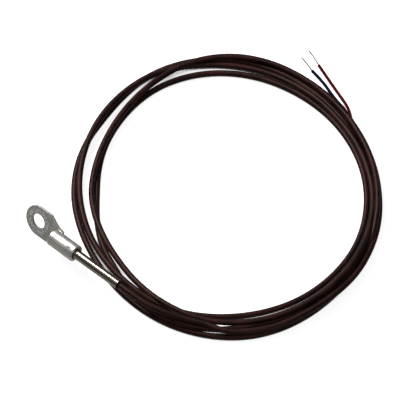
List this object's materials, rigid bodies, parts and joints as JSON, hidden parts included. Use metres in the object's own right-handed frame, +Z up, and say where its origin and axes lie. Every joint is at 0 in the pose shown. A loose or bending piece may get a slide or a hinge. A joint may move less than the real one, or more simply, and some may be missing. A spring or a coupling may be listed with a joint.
{
  "type": "ring terminal thermocouple",
  "caption": "Ring-terminal thermocouple: a stamped stud ring and crimped barrel on a thin steel probe tube, with a long two-core lead wound in a loose oval coil.",
  "frame": {"origin": "centre of the stud hole, halfway through the tongue's thickness", "axes": "+X along the probe from the ring towards the lead, seen from above; +Y across it, towards the coil's middle; +Z up from the surface that the coil and the ring's lower edge rest on"},
  "size_m": [0.1392, 0.1522, 0.0136],
  "materials": {
    "tinned_copper": "satin",
    "braze": "satin",
    "solder": "matte",
    "probe_steel": "polished",
    "weld_bead": "matte",
    "copper": "polished",
    "constantan": "polished",
    "blue_insulation": "gloss",
    "red_insulation": "gloss",
    "cement": "matte",
    "epoxy": "gloss",
    "brown_jacket": "satin"
  },
  "bodies": {
    "root": {"ring_terminal": "tinned_copper", "seam_braze": "braze", "solder_fill": "solder", "probe_tube": "probe_steel", "tip_plug": "probe_steel", "hot_junction": "weld_bead", "copper_conductor": "copper", "constantan_conductor": "constantan", "blue_insulation": "blue_insulation", "red_insulation": "red_insulation", "cement_fill": "cement", "rear_seal": "epoxy", "jacket_end": "brown_jacket", "cable_coil": "brown_jacket", "cable_lead": "brown_jacket", "red_lead": "red_insulation", "blue_lead": "blue_insulation", "red_tip": "constantan", "blue_tip": "copper"}
  },
  "joints": []
}
